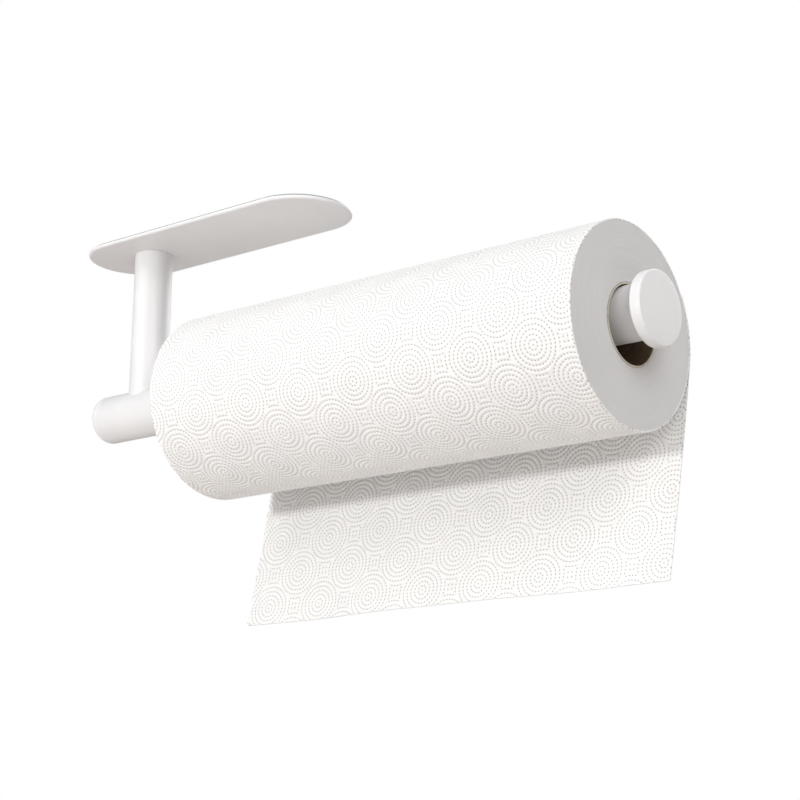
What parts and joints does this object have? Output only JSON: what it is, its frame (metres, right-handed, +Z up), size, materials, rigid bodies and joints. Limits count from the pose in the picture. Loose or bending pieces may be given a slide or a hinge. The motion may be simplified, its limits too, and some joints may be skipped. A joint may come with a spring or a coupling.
{
  "type": "under-cabinet paper towel holder",
  "caption": "White under-cabinet paper towel holder: rounded plate, post and open-ended arm with a stop disc, carrying a part-used towel roll with a loose sheet.",
  "frame": {"origin": "middle of the adhesive pad's upper face, where it sticks to the underside of a cabinet", "axes": "+Z up, out of the mounting face into the cabinet; +X along the arm from the post to the free end; +Y to the back, the side the loose sheet hangs on"},
  "size_m": [0.3977, 0.105, 0.2266],
  "materials": {
    "white_enamel": "satin white powder coat",
    "plated_steel": "zinc plated",
    "turned_alloy": "as turned",
    "white_moulding": "satin moulded, colour matched to the coated tube",
    "foam_tape": "closed-cell foam with a tacky face",
    "brown_card": "spiral-wound kraft board",
    "towel_paper": "soft embossed two-ply towel paper"
  },
  "bodies": {
    "holder": {"adhesive_pad": "foam_tape", "mounting_plate": "white_enamel", "plate_dowel_1": "plated_steel", "plate_dowel_2": "plated_steel", "tie_bolt": "plated_steel", "post_top_plug": "turned_alloy", "post_tube": "white_enamel", "post_saddle_plug": "turned_alloy", "arm_dowel_1": "plated_steel", "arm_dowel_2": "plated_steel", "arm_tube": "white_enamel", "arm_anchor": "turned_alloy", "arm_end_cap": "white_moulding", "arm_end_plug": "turned_alloy", "disc_stud": "plated_steel", "stop_disc": "white_enamel"},
    "loose_sheet": {"hanging_sheet": "towel_paper"},
    "roll": {"cardboard_core": "brown_card", "paper_roll": "towel_paper"}
  },
  "joints": [
    {"name": "roll_shift", "type": "slide", "parent": "holder", "child": "loose_sheet", "axis": [1, 0, 0], "range_m": [-0.0465, 0.0102]},
    {"name": "roll_spin", "type": "hinge", "parent": "loose_sheet", "child": "roll", "pos_m": [0.146, 0, -0.106], "axis": [1, 0, 0], "continuous": true}
  ]
}
